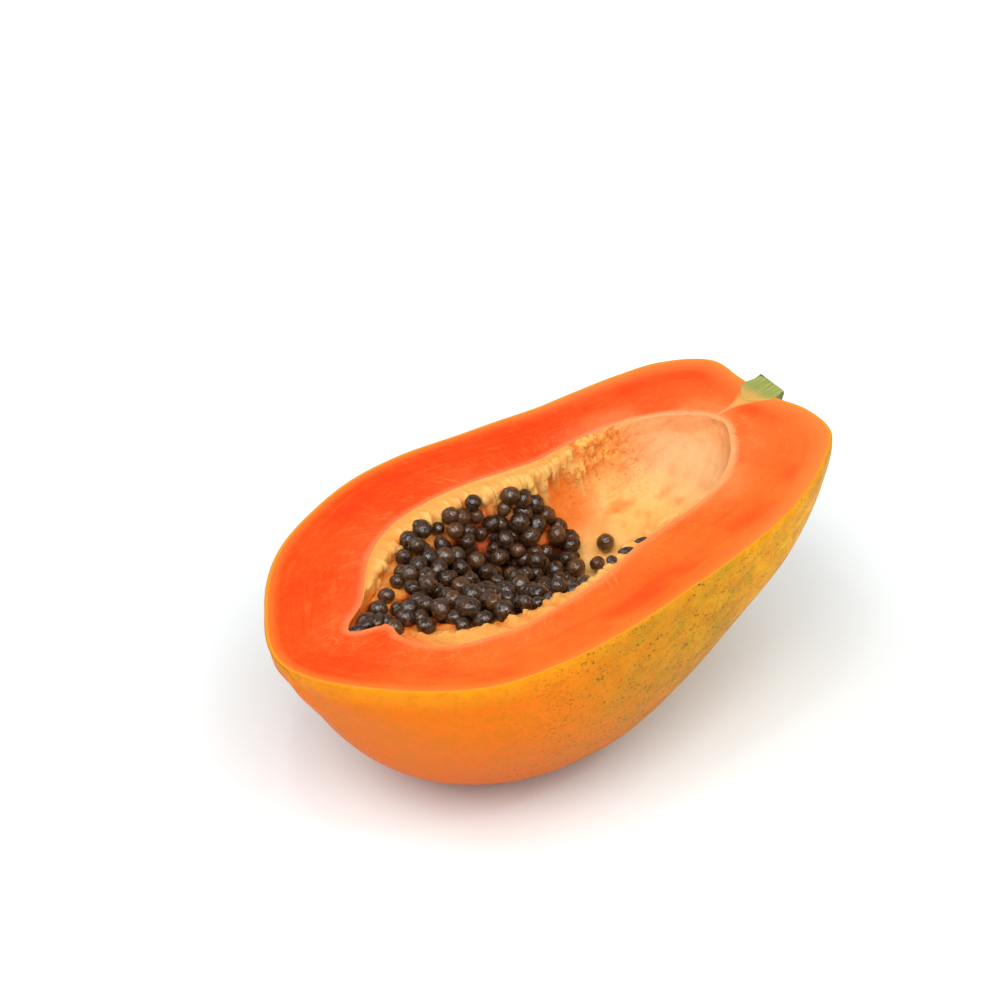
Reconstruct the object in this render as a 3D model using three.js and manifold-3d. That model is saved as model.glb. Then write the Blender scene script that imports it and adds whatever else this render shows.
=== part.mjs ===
// Half of a ripe papaya, cut lengthwise through its stem, lying on its skin with the cut face up.
// Millimetres. The shapes are worked out in the fruit's own frame: the cut face is the plane z = 0,
// +X runs from the blossom end to the stem, and the origin is the middle of the cut face.
// The group then leans the fruit as it rests: +Z up, the flat resting spot at Z = 0.
import * as THREE from "three";
import { mergeVertices } from "three/addons/utils/BufferGeometryUtils.js";
import Module from "manifold-3d";

const wasm = await Module();
wasm.setup();

// Driving dimensions
const STEM_END_RISE = 5.1; // degrees that the stem end is raised as the half rests
const NEAR_SIDE_RISE = 4.3; // degrees that the -Y side is raised
const REST_FLAT_DEPTH = 1.9; // depth of the flat spot pressed into the lowest skin
const PIECE_GAP = 0.35; // clearance between the seeds, the stem and the flesh

// The skin's distance from the middle of the cut face, in degrees from the stem end and millimetres,
// along three meridians: the two edges of the cut face and the keel underneath.
const SKIN_NEAR = [
  [0, 98.6], [10, 102.4], [19, 102], [28, 94], [42, 82], [60, 70], [80, 64],
  [95, 64.6], [110, 68.6], [125, 76], [140, 85.2], [160, 92.6], [180, 100],
];
const SKIN_FAR = [
  [0, 98.6], [8, 101.4], [16, 105.8], [25, 98.6], [32, 88], [40, 77.4], [50, 68.4], [64, 63.4],
  [78, 62.2], [95, 65.8], [110, 70.4], [125, 75.2], [140, 82], [160, 90.4], [180, 100],
];
const SKIN_KEEL = [
  [0, 98.6], [12, 90], [24, 80], [40, 72], [58, 69.4], [76, 72], [94, 75.8],
  [112, 80], [130, 84.6], [148, 89.6], [164, 93], [180, 100],
];
const LOBE_HEIGHT = 0.013; // share of the radius by which the five lobes swell and sink
const LOBE_RIDGE = 8; // degrees round from the near edge to the first ridge

// The seed cavity, in the same way, from its own middle.
const CAVITY_SHIFT = 4; // how far the cavity's middle lies towards the stem
const CAVITY_NEAR = [
  [0, 74], [11, 68], [20, 62], [30, 54.4], [42, 45.6], [56, 38], [75, 34], [97, 36.6],
  [112, 41], [125, 47], [142, 59.4], [158, 71], [169, 71.6], [175, 69.8], [180, 79],
];
const CAVITY_FAR = [
  [0, 74], [11, 68], [20, 60], [30, 50.4], [42, 40], [56, 33], [76, 31.4], [97, 34.4],
  [118, 41], [134, 48.6], [152, 56.8], [165, 62.6], [173, 68.6], [180, 79],
];
const CAVITY_KEEL = [
  [0, 74], [14, 63], [30, 50], [50, 42], [75, 39], [92, 39.4], [110, 42],
  [130, 48], [150, 56], [168, 66], [180, 79],
];
// The soft pulp ledge just under the rim: how far it stands into the cavity, in the same degrees.
const LEDGE_NEAR = [[14, 0], [60, 4.2], [108, 4.2], [128, 9], [156, 10], [174, 0]];
const LEDGE_FAR = [[14, 0], [60, 4.2], [150, 4.2], [172, 0]];
const LEDGE_TOP = 5; // degrees under the cut face at which the ledge is widest
const LEDGE_END = 60; // degrees under the cut face at which it has died away
const FRINGE_HEIGHT = 1.2; // the knobs of pulp on the ledge, to which the seeds were joined
const FRINGE_COUNT = 18; // knobs along each side
const FRINGE_ROW = 40; // degrees round the cavity from one row of knobs to the next but one
const FRINGE_FADE = 4; // they are lower where the ledge is narrower than this

// The stem's stub, split by the same cut: distance along +X from the fruit's middle, and radius.
const STEM_SIDE_SHIFT = 2.6; // the stem stands this far off the axis, towards +Y
const STEM_PROFILE = [[93.5, 4.2], [96.5, 7], [99.5, 7.2], [102.4, 6.2], [105.3, 6.6]];
const STEM_SIDES = 10;

// Seeds
const SEED_LENGTH = 6.6;
const SEED_WIDTH = 5.8;
const PILE_SEED_SCALE = 1.12; // the pile's seeds are a little larger, so that fewer of them cover it
const SEED_SPACING = 5.9; // centres are no closer than this, so that neighbours run into each other
const SEED_TRIES = 2500;
const TRY_STEP_X = 0.7548776662; // steps that spread the tries evenly over the pile's rectangle
const TRY_STEP_Y = 0.569840291;
const PILE_LENGTH = 112; // the rectangle that holds the pile
const PILE_WIDTH = 76;
const PILE_LIFT = 2.8; // how far above the bed the centre of a seed may come to rest on others
const PILE_START = -76; // x of the pile's tip, at the blossom end
const PILE_END = 14; // x of the pile's free edge on the axis
const PILE_SLANT = 0.7; // how much further the free edge reaches for each millimetre of +Y
const PILE_LIMIT = 24; // x that no seed centre passes
// The share of the cavity's half width that seed centres keep to on each side, in the same degrees.
const PILE_NEAR = [[100, 0.86], [118, 0.85], [136, 0.76], [152, 0.78], [164, 0.84], [180, 0.96]];
const PILE_FAR = [[100, 0.86], [130, 0.84], [150, 0.81], [166, 0.86], [175, 0.95], [180, 0.96]];
// Depth of the bed under the cut face at its sides and along its middle, by x.
const BED_SIDE = [[-76, 2.2], [-60, 2.8], [-40, 3.6], [-15, 4.4], [6, 5], [17, 11], [28, 24]];
const BED_MIDDLE = [[-76, 2.2], [-60, 4.5], [-42, 10], [-20, 19], [0, 27], [28, 34]];
const BED_MARGIN = 3; // how far the bed stays back from the pile's free edge
const BED_FALL = 4; // how steeply it falls beyond that
const BED_CLEARANCE = 1.5; // how far it stays from the cavity's wall
// Two seeds lie apart from the pile on the cavity's wall, and three are stuck in the pulp of its rim.
const LOOSE_SEEDS = [[31, 7], [24.3, 3.8]];
const RIM_SEEDS = [[3.2, -31.4], [9.4, -32], [15.8, -31.6]];
const RIM_SEED_DEPTH = 1.6; // depth of their centres under the cut face
const RIM_SEED_SHAPE = [0.88, 0.68, 0.52]; // their size, as shares of a seed's length

// Mesh fineness
const SKIN_ALONG = 48;
const SKIN_AROUND = 24;
const CAVITY_ALONG = 96;
const CAVITY_AROUND = 16;
const BED_ALONG = 10;
const BED_AROUND = 7;
const BED_ROOM_ALONG = 22;
const BED_ROOM_AROUND = 8;
const DEEPEST = -60; // below every part of the cavity
const OPENING = 20; // how far the shapes that hollow the half out stand above its cut face

const radians = (degrees) => (degrees * Math.PI) / 180;

// The value at x of a smooth curve through the given [x, value] points, level at both ends.
function curve(points, x) {
  const last = points.length - 1;
  const slope = (i) =>
    i <= 0 || i >= last
      ? 0
      : (points[i + 1][1] - points[i - 1][1]) / (points[i + 1][0] - points[i - 1][0]);
  let i = 0;
  while (i < last - 1 && x > points[i + 1][0]) i += 1;
  const span = points[i + 1][0] - points[i][0];
  const t = Math.min(1, Math.max(0, (x - points[i][0]) / span));
  const s = 1 - t;
  return (
    points[i][1] * (1 + 2 * t) * s * s +
    points[i + 1][1] * (3 - 2 * t) * t * t +
    span * (slope(i) * t * s * s - slope(i + 1) * t * t * s)
  );
}

const smoothstep = (from, to, x) => {
  const t = Math.min(1, Math.max(0, (x - from) / (to - from)));
  return t * t * (3 - 2 * t);
};

// The radius between meridians: along is degrees from the stem end, around is degrees under the near edge.
function blended(near, keel, far, along, around) {
  const edge = around < 90 ? near : far;
  const share = Math.cos(radians(around)) ** 2;
  return curve(edge, along) * share + curve(keel, along) * (1 - share);
}

function skinRadius(along, around) {
  const lobes = Math.cos(radians(5 * (around - LOBE_RIDGE)));
  const fade = Math.sin(radians(around)) * Math.sin(radians(along)) ** 0.5;
  return blended(SKIN_NEAR, SKIN_KEEL, SKIN_FAR, along, around) * (1 + LOBE_HEIGHT * lobes * fade);
}

const smoothCavityRadius = (along, around) =>
  blended(CAVITY_NEAR, CAVITY_KEEL, CAVITY_FAR, along, around);

const ledgeWidth = (along, around) => curve(around < 90 ? LEDGE_NEAR : LEDGE_FAR, along);

function cavityRadius(along, around) {
  const under = Math.min(around, 180 - around);
  const width = ledgeWidth(along, around);
  const band = smoothstep(0, LEDGE_TOP, under) * (1 - smoothstep(LEDGE_TOP, LEDGE_END, under));
  const knobs =
    Math.cos(radians(along * 2 * FRINGE_COUNT)) *
    Math.cos((2 * Math.PI * (under - LEDGE_TOP)) / FRINGE_ROW);
  const fringe = FRINGE_HEIGHT * knobs * Math.min(1, width / FRINGE_FADE);
  return smoothCavityRadius(along, around) - band * (width + fringe);
}

// Rows from one edge of the cut face round to the other, in degrees: evenly spaced, or closer at the edges.
const evenRows = (steps) => (j) => (180 * j) / steps;
const edgeRows = (steps) => (j) => 90 * (1 - Math.cos((Math.PI * j) / steps));

// The lower half of a body given by its distance from its middle, closed by a flat lid at z = lift.
// The lid's rim stands straight up from the edge of the cut face.
function lowerHalf(radius, alongSteps, aroundSteps, rows, middleX, lift) {
  const aroundAt = rows(aroundSteps);
  const points = [];
  const faces = [];
  const place = (along, around) => {
    const r = radius(along, around);
    const side = r * Math.sin(radians(along));
    points.push(
      middleX + r * Math.cos(radians(along)),
      -side * Math.cos(radians(around)),
      -side * Math.sin(radians(around)),
    );
  };
  place(0, 0);
  place(180, 0);
  for (let i = 1; i < alongSteps; i += 1)
    for (let j = 0; j <= aroundSteps; j += 1)
      place((180 * i) / alongSteps, aroundAt(j));
  const at = (i, j) => {
    if (i === 0) return 0;
    return i === alongSteps ? 1 : 2 + (i - 1) * (aroundSteps + 1) + j;
  };
  for (let i = 0; i < alongSteps; i += 1)
    for (let j = 0; j < aroundSteps; j += 1) {
      if (i < alongSteps - 1) faces.push(at(i, j), at(i + 1, j), at(i + 1, j + 1));
      if (i === alongSteps - 1) faces.push(at(i, j), at(i + 1, j), at(i, j + 1));
      else if (i > 0) faces.push(at(i, j), at(i + 1, j + 1), at(i, j + 1));
    }
  let rim = [];
  for (let i = 0; i <= alongSteps; i += 1) rim.push(at(i, 0));
  for (let i = alongSteps - 1; i > 0; i -= 1) rim.push(at(i, aroundSteps));
  for (const v of rim) points[3 * v + 2] = 0;
  const next = (k) => (k + 1) % rim.length;
  if (lift > 0) {
    const raised = rim.map((v) => {
      points.push(points[3 * v], points[3 * v + 1], lift);
      return points.length / 3 - 1;
    });
    rim.forEach((v, k) => {
      faces.push(v, raised[k], rim[next(k)]);
      faces.push(rim[next(k)], raised[k], raised[next(k)]);
    });
    rim = raised;
  }
  points.push(middleX, 0, lift);
  const centre = points.length / 3 - 1;
  rim.forEach((v, k) => faces.push(centre, rim[next(k)], v));
  return new THREE.BufferGeometry()
    .setAttribute("position", new THREE.Float32BufferAttribute(points, 3))
    .setIndex(faces);
}

function toSolid(geometry) {
  const bare = geometry.clone();
  bare.deleteAttribute("normal");
  bare.deleteAttribute("uv");
  const merged = mergeVertices(bare, 1e-4);
  return new wasm.Manifold(
    new wasm.Mesh({
      numProp: 3,
      vertProperties: new Float32Array(merged.attributes.position.array),
      triVerts: new Uint32Array(merged.index.array),
    }),
  );
}

function toGeometry(solid) {
  const mesh = solid.getMesh();
  const positions = new Float32Array(mesh.numVert * 3);
  for (let i = 0; i < mesh.numVert; i += 1)
    for (let k = 0; k < 3; k += 1)
      positions[3 * i + k] = mesh.vertProperties[mesh.numProp * i + k];
  const geometry = new THREE.BufferGeometry()
    .setAttribute("position", new THREE.BufferAttribute(positions, 3))
    .setIndex(new THREE.BufferAttribute(new Uint32Array(mesh.triVerts), 1));
  geometry.computeVertexNormals();
  return geometry;
}

// The turn from the fruit's frame to the frame it rests in.
const restTurn = new THREE.Euler(
  -radians(NEAR_SIDE_RISE),
  -radians(STEM_END_RISE),
  0,
  "YXZ",
);

// The half's outer form, and the height of the middle of its cut face above the surface it lies on.
const skinGeometry = lowerHalf(skinRadius, SKIN_ALONG, SKIN_AROUND, evenRows, 0, 0);
const restingBox = new THREE.Box3().setFromBufferAttribute(
  skinGeometry
    .clone()
    .applyMatrix4(new THREE.Matrix4().makeRotationFromEuler(restTurn))
    .getAttribute("position"),
);
const restHeight = -restingBox.min.z - REST_FLAT_DEPTH;

function restingSurface() {
  const width = 300;
  const thickness = 40;
  const block = new THREE.BoxGeometry(width, width, thickness);
  block.translate(0, 0, -restHeight - thickness / 2);
  block.applyMatrix4(new THREE.Matrix4().makeRotationFromEuler(restTurn).invert());
  return toSolid(block);
}

// Half of a round stem: rings of the profile along +X, closed by the flat cut on top.
function stemGeometry(grow, lift) {
  const points = [];
  const faces = [];
  const perRing = STEM_SIDES + 1 + (lift > 0 ? 2 : 0);
  STEM_PROFILE.forEach(([x, radius], i) => {
    const ends = i === 0 ? -grow : grow;
    const r = radius + grow;
    const along = x + (i === 0 || i === STEM_PROFILE.length - 1 ? ends : 0);
    for (let k = 0; k <= STEM_SIDES; k += 1) {
      const turn = (Math.PI * k) / STEM_SIDES;
      points.push(along, STEM_SIDE_SHIFT - r * Math.cos(turn), -r * Math.sin(turn));
    }
    if (lift > 0) {
      points.push(along, STEM_SIDE_SHIFT + r, lift);
      points.push(along, STEM_SIDE_SHIFT - r, lift);
    }
  });
  const last = (STEM_PROFILE.length - 1) * perRing;
  for (let k = 0; k < perRing; k += 1) {
    const after = (k + 1) % perRing;
    for (let ring = 0; ring < last; ring += perRing) {
      faces.push(ring + k, ring + after, ring + perRing + k);
      faces.push(ring + after, ring + perRing + after, ring + perRing + k);
    }
    if (k > 0 && after > 0) {
      faces.push(0, after, k);
      faces.push(last, last + k, last + after);
    }
  }
  return new THREE.BufferGeometry()
    .setAttribute("position", new THREE.Float32BufferAttribute(points, 3))
    .setIndex(faces);
}

// Room inside the cavity, its wall moved inwards by a clearance and open through the cut face.
function cavityRoom(clearance) {
  const wall = (along, around) => cavityRadius(along, around) - clearance;
  return toSolid(
    lowerHalf(wall, CAVITY_ALONG, CAVITY_AROUND, edgeRows, CAVITY_SHIFT, OPENING),
  );
}

function fleshSolid() {
  const pockets = RIM_SEEDS.map((place, index) => toSolid(rimSeedGeometry(place, index, PIECE_GAP)));
  return toSolid(skinGeometry)
    .subtract(cavityRoom(0))
    .subtract(toSolid(stemGeometry(PIECE_GAP, OPENING)))
    .subtract(wasm.Manifold.union(pockets))
    .subtract(restingSurface());
}

// A number from 0 to 1 that looks random but is the same every time.
const scatter = (index, salt) => {
  const wave = Math.sin(index * 12.9898 + salt * 78.233) * 43758.5453;
  return wave - Math.floor(wave);
};

// How far out a point of the cut plane is, as a share of the pile's half width in its direction.
function pileReach(x, y) {
  const along = (Math.atan2(Math.abs(y), x - CAVITY_SHIFT) * 180) / Math.PI;
  const edge = curve(y < 0 ? CAVITY_NEAR : CAVITY_FAR, along);
  const share = curve(y < 0 ? PILE_NEAR : PILE_FAR, along);
  return Math.hypot(x - CAVITY_SHIFT, y) / (edge * share);
}

function bedHeight(x, y) {
  const out = Math.min(1, pileReach(x, y)) ** 2;
  return -(curve(BED_SIDE, x) * out + curve(BED_MIDDLE, x) * (1 - out));
}

const pileEdge = (y) => Math.min(PILE_END + PILE_SLANT * y, PILE_LIMIT);
const inPile = (x, y) => x < pileEdge(y) && pileReach(x, y) < 1;

// Drops seeds one by one on the bed and on each other, and keeps those that come to rest low enough.
function pileOfSeeds() {
  const seeds = [];
  for (let i = 0; i < SEED_TRIES; i += 1) {
    const x = PILE_START + PILE_LENGTH * ((0.5 + i * TRY_STEP_X) % 1);
    const y = PILE_WIDTH * (((0.5 + i * TRY_STEP_Y) % 1) - 0.5);
    if (!inPile(x, y)) continue;
    const bed = bedHeight(x, y);
    let z = bed;
    for (const s of seeds) {
      const across = (s.x - x) ** 2 + (s.y - y) ** 2;
      if (across < SEED_SPACING ** 2)
        z = Math.max(z, s.z + Math.sqrt(SEED_SPACING ** 2 - across));
    }
    if (z - bed < PILE_LIFT) seeds.push({ x, y, z, index: i });
  }
  return seeds;
}

function seedGeometry({ x, y, z, index }) {
  const size = PILE_SEED_SCALE * (0.9 + 0.2 * scatter(index, 1));
  const turn = new THREE.Euler(
    2 * Math.PI * scatter(index, 2),
    Math.PI * (scatter(index, 3) - 0.5),
    2 * Math.PI * scatter(index, 4),
  );
  return new THREE.SphereGeometry(size / 2, 7, 5)
    .scale(SEED_WIDTH, SEED_LENGTH, SEED_WIDTH)
    .applyMatrix4(new THREE.Matrix4().makeRotationFromEuler(turn))
    .translate(x, y, z);
}

// The hidden seeds that the top layer stands out of: a block whose top is the bed.
function bedGeometry() {
  const block = new THREE.BoxGeometry(PILE_LENGTH, PILE_WIDTH, 1, BED_ALONG, BED_AROUND, 1);
  const position = block.getAttribute("position");
  for (let i = 0; i < position.count; i += 1) {
    const x = position.getX(i) + PILE_START + PILE_LENGTH / 2;
    const y = position.getY(i);
    const past = Math.max(0, x - pileEdge(y) + BED_MARGIN);
    const top = Math.max(bedHeight(x, y) - BED_FALL * past, DEEPEST + 1);
    position.setXYZ(i, x, y, position.getZ(i) > 0 ? top : DEEPEST);
  }
  return block;
}

function seedsSolid() {
  const ledge = (along, around) => ledgeWidth(along, around) * Math.cos(radians(around)) ** 2;
  const wall = (along, around) =>
    smoothCavityRadius(along, around) - ledge(along, around) - FRINGE_HEIGHT - BED_CLEARANCE;
  const bedRoom = toSolid(
    lowerHalf(wall, BED_ROOM_ALONG, BED_ROOM_AROUND, evenRows, CAVITY_SHIFT, 0),
  );
  const bed = toSolid(bedGeometry()).intersect(bedRoom);
  const seeds = pileOfSeeds().map((seed) => toSolid(seedGeometry(seed)));
  const joined = wasm.Manifold.union([bed, ...seeds]).intersect(cavityRoom(PIECE_GAP));
  const bodies = joined.decompose().sort((a, b) => b.volume() - a.volume());
  return bodies[0];
}

// The height at which a seed's centre clears the cavity's wall below (x, y).
function wallHeight(x, y, clearance) {
  const step = 0.1;
  let z = 0;
  const inside = (depth) => {
    const side = Math.hypot(y, depth);
    const reach = Math.hypot(x - CAVITY_SHIFT, side);
    const along = (Math.atan2(side, x - CAVITY_SHIFT) * 180) / Math.PI;
    const around = (Math.atan2(depth, -y) * 180) / Math.PI;
    return reach < cavityRadius(along, around) - clearance;
  };
  while (z > DEEPEST && inside(step - z)) z -= step;
  return z;
}

function looseSeedGeometry([x, y], index) {
  const turn = 1.1 * index - 0.5;
  return new THREE.IcosahedronGeometry(0.5, 1)
    .scale(SEED_LENGTH, SEED_WIDTH, SEED_WIDTH)
    .rotateZ(turn)
    .translate(x, y, wallHeight(x, y, SEED_WIDTH / 2 + 2 * PIECE_GAP));
}

// A seed stuck in the rim, grown all round by a margin to make its pocket.
function rimSeedGeometry([x, y], index, margin) {
  const size = RIM_SEED_SHAPE.map((share) => share * SEED_LENGTH + 2 * margin);
  const turn = 0.7 - 0.5 * index;
  return new THREE.IcosahedronGeometry(0.5, 1)
    .scale(...size)
    .rotateZ(turn)
    .translate(x, y, -RIM_SEED_DEPTH);
}

const materials = {
  flesh: new THREE.MeshStandardMaterial({ color: 0xf26a2c, roughness: 0.45, metalness: 0 }),
  seed: new THREE.MeshStandardMaterial({ color: 0x2a1c14, roughness: 0.3, metalness: 0 }),
  stem: new THREE.MeshStandardMaterial({ color: 0x9fae5a, roughness: 0.7, metalness: 0 }),
};

const papaya = new THREE.Group();

function addPiece(name, geometry, material) {
  const mesh = new THREE.Mesh(geometry, material);
  mesh.name = name;
  papaya.add(mesh);
}

addPiece("papaya_half", toGeometry(fleshSolid()), materials.flesh);
addPiece("seeds", toGeometry(seedsSolid()), materials.seed);
LOOSE_SEEDS.forEach((place, index) =>
  addPiece(`loose_seed_${index + 1}`, looseSeedGeometry(place, index), materials.seed),
);
RIM_SEEDS.forEach((place, index) =>
  addPiece(`rim_seed_${index + 1}`, rimSeedGeometry(place, index, 0), materials.seed),
);
addPiece("stem", toGeometry(toSolid(stemGeometry(0, 0))), materials.stem);

papaya.setRotationFromEuler(restTurn);
papaya.position.z = restHeight;
const whole = new THREE.Box3().setFromObject(papaya, true);
papaya.position.x = -(whole.min.x + whole.max.x) / 2;
papaya.position.y = -(whole.min.y + whole.max.y) / 2;

export default papaya;
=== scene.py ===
"""The looks of a halved papaya: flesh with its seed cavity, seeds, and a split stem stub.

The shapes are worked out in millimetres in the fruit's own frame, where the cut face is the plane
z = 0, +X runs from the blossom end to the stem and -Y is the side nearest the camera. They are then
leaned as the half rests and set in the CAD model's frame, in metres.
"""

import math

import bmesh
import bpy
import numpy as np
from mathutils import Matrix, Vector, noise


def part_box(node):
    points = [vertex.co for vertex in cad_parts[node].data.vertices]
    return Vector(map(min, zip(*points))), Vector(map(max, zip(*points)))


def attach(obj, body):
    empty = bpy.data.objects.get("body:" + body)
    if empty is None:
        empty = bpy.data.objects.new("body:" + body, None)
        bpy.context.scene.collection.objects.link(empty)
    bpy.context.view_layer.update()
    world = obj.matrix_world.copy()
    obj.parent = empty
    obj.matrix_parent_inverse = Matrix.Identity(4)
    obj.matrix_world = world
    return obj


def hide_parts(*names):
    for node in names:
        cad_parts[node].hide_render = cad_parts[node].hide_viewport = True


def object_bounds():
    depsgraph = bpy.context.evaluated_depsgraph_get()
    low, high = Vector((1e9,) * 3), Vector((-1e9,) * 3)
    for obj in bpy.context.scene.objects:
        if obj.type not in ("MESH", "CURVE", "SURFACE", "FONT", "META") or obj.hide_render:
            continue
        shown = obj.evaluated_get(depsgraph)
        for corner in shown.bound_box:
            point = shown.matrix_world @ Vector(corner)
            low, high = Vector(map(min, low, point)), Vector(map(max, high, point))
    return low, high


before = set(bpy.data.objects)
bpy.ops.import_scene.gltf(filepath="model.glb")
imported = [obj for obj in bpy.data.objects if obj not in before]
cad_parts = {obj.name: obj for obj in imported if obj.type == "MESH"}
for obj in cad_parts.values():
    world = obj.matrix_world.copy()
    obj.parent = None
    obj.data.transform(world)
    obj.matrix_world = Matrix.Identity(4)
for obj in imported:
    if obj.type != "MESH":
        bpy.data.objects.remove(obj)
cad_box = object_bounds()

# How the half lies, in degrees
STEM_END_RISE = 5.1
NEAR_SIDE_RISE = 4.3

# The camera, in degrees and metres in the part's frame
CAMERA_AZIMUTH = -40.09
CAMERA_ELEVATION = 33.77
CAMERA_DISTANCE = 1.0956
CAMERA_TARGET = (0.02586, 0.05193, 0.045)
CAMERA_LENS_MM = 118.08

# The half's outline along three meridians: degrees from the stem end, and the radius
SKIN_NEAR = [
    (0, 98.6), (10, 102.4), (19, 102), (28, 94), (42, 82), (60, 70), (80, 64),
    (95, 64.6), (110, 68.6), (125, 76), (140, 85.2), (160, 92.6), (180, 100),
]
SKIN_FAR = [
    (0, 98.6), (8, 101.4), (16, 105.8), (25, 98.6), (32, 88), (40, 77.4), (50, 68.4), (64, 63.4),
    (78, 62.2), (95, 65.8), (110, 70.4), (125, 75.2), (140, 82), (160, 90.4), (180, 100),
]
SKIN_KEEL = [
    (0, 98.6), (12, 90), (24, 80), (40, 72), (58, 69.4), (76, 72), (94, 75.8),
    (112, 80), (130, 84.6), (148, 89.6), (164, 93), (180, 100),
]
LOBE_HEIGHT = 0.013
LOBE_RIDGE = 8
SKIN_INSET = 0.3
SKIN_SWELL = ((0.35, 26, 1), (0.1, 7, 2))

# The seed cavity, in the same way, from its own middle
CAVITY_SHIFT = 4
CAVITY_NEAR = [
    (0, 74), (11, 68), (20, 62), (30, 54.4), (42, 45.6), (56, 38), (75, 34), (97, 36.6),
    (112, 41), (125, 47), (142, 59.4), (158, 71), (169, 71.6), (175, 69.8), (180, 79),
]
CAVITY_FAR = [
    (0, 74), (11, 68), (20, 60), (30, 50.4), (42, 40), (56, 33), (76, 31.4), (97, 34.4),
    (118, 41), (134, 48.6), (152, 56.8), (165, 62.6), (173, 68.6), (180, 79),
]
CAVITY_KEEL = [
    (0, 74), (14, 63), (30, 50), (50, 42), (75, 39), (92, 39.4), (110, 42),
    (130, 48), (150, 56), (168, 66), (180, 79),
]

# The pulp ledge under the rim
LEDGE_NEAR = [(14, 0), (60, 4.2), (108, 4.2), (128, 9), (156, 10), (174, 0)]
LEDGE_FAR = [(14, 0), (60, 4.2), (150, 4.2), (172, 0)]
LEDGE_TOP = 5
LEDGE_END = 60
RAGGED = 1.7
RAGGED_LAYERS = ((0.5, 5, 8), (1, 2.4, 9))

# Knobs and fingers of pulp, where the seeds were joined
KNOBS_A_SIDE = 230
KNOB_START = 7
KNOB_HEIGHT = (0.8, 2.4)
KNOB_WIDTH = (0.65, 1.15)
KNOB_LENGTH = (1.0, 3.2)
FINGER_STRETCH = 1.7
FINGERS_ALONG = (32, 62)
NEAR_KNOB_SHARE = 0.55
KNOBS_ALONG = (22, 166)
KNOBS_UNDER = (2, 28)
KNOBS_CROWDED_UP = 1.8

# Fine relief of the wall and the cut face, as the height, the size of the lumps and a seed
WALL_GRAIN = ((0.3, 4.5, 3), (0.16, 1.8, 4))
WALL_RIDGES = ((0.5, 3.2, 5),)
SHELF_GROOVES = ((1.9, 1.9, 11),)
CUT_DIP = 0.12
CUT_UNEVEN = ((0.12, 9, 6), (0.05, 2.2, 7))

# The stem's stub
STEM_SIDE_SHIFT = 2.6
STEM_PROFILE = [(91.5, 1.6), (94, 4), (96.5, 6.4), (99.5, 6.9), (102.4, 6.3), (105.2, 6.6)]
STEM_LIFT = 0.2
STEM_RIBS = ((0.025, 11), (0.012, 29))
STEM_SLANT = 0.18
STEM_SLANT_LEVEL = 3.3
STEM_SLANT_ROWS = 8
STEM_HALF_WIDTH = 7
STEM_END_HOLLOW = 0.35
STEM_AROUND = 48
STEM_ALONG = 60
STEM_CUT_STEPS = 16

# Seeds
SEED_LENGTH = 6.3
SEED_WIDTH = 5.5
SEED_SPACING = 4.9
SEED_TRIES = 9000
TRY_STEP_X = 0.7548776662
TRY_STEP_Y = 0.569840291
PILE_LENGTH = 112
PILE_WIDTH = 76
PILE_LIFT = 4.6
PILE_START = -76
PILE_END = 14
PILE_SLANT = 0.7
PILE_LIMIT = 24
PILE_WAVE = 2
PILE_WAVE_TURN = (0.42, 0.8)
PILE_NEAR = [(100, 0.86), (118, 0.82), (136, 0.71), (152, 0.73), (164, 0.82), (180, 0.95)]
PILE_FAR = [(100, 0.88), (130, 0.87), (150, 0.86), (166, 0.89), (175, 0.95), (180, 0.96)]
BED_SIDE = [(-76, 2.2), (-60, 2.8), (-40, 3.6), (-15, 4.4), (6, 5), (17, 11), (28, 24)]
BED_MIDDLE = [(-76, 2.2), (-60, 4.5), (-42, 10), (-20, 19), (0, 27), (28, 34)]
BED_SINK = 1.2
BED_FADE = 18
BED_BELOW_SEEDS = 1.4
BED_MARGIN = 2.5
BED_DROP = 3
BED_IN_WALL = 1.5
BED_THICKNESS = 2
BED_UNEVEN = ((1.1, 4.2, 12),)
BED_STEPS = (90, 70)
EDGE_SEEDS = [
    (-31.5, 28.8, -4), (-36.4, 23.2, -4), (-41.6, 18.6, -4.4), (-46.6, 14.4, -4),
    (-23.4, 29.4, -4), (-60, 7, -4), (-53.4, 11.2, -4), (-4, 30, -8),
]
TIP_SEEDS = [(-73.2, 0.3, -1.2), (-69, 0.4, -1.4), (-64.8, -0.6, -1.6)]
FINE_SEED_HEIGHT = 1.2
SEED_JITTER = 0.7
SEEDS_LEFT_OUT = 0.03
PILE_START_NUMBER = 5
SEED_SCALE = (0.82, 1.24)
SEED_DENT = 0.08
SEED_DENT_SIZE = 0.7
SEED_FOLD_SIZE = 0.27
SEED_FOLD_DEPTH = 0.06
SEED_FOLD_WIDTH = 0.12
SEED_TAPER = 0.07
SEED_TILT = 1.4
SEED_PRESSED_IN = 2.2
TIP_SEED_SHAPE = (0.95, 0.6, 0.5)
STUCK_SEED_SHAPE = (0.9, 0.72, 0.55)

# How much brighter than its own colour the lights make a level surface
LIGHT_LEVEL = 1.28

# Mesh fineness
ALONG = 320
SKIN_AROUND = 100
CAVITY_AROUND = 92
CUT_STEPS = 26
SEED_DETAIL = 4
HIDDEN_SEED_DETAIL = 3
EDGE_ROUND = 0.35
WALL_BELOW_CUT = 0.12

# The distance given to a point on a surface that doesn't meet the edge it is measured from
FAR_OFF = 30.0


# Numbers

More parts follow.
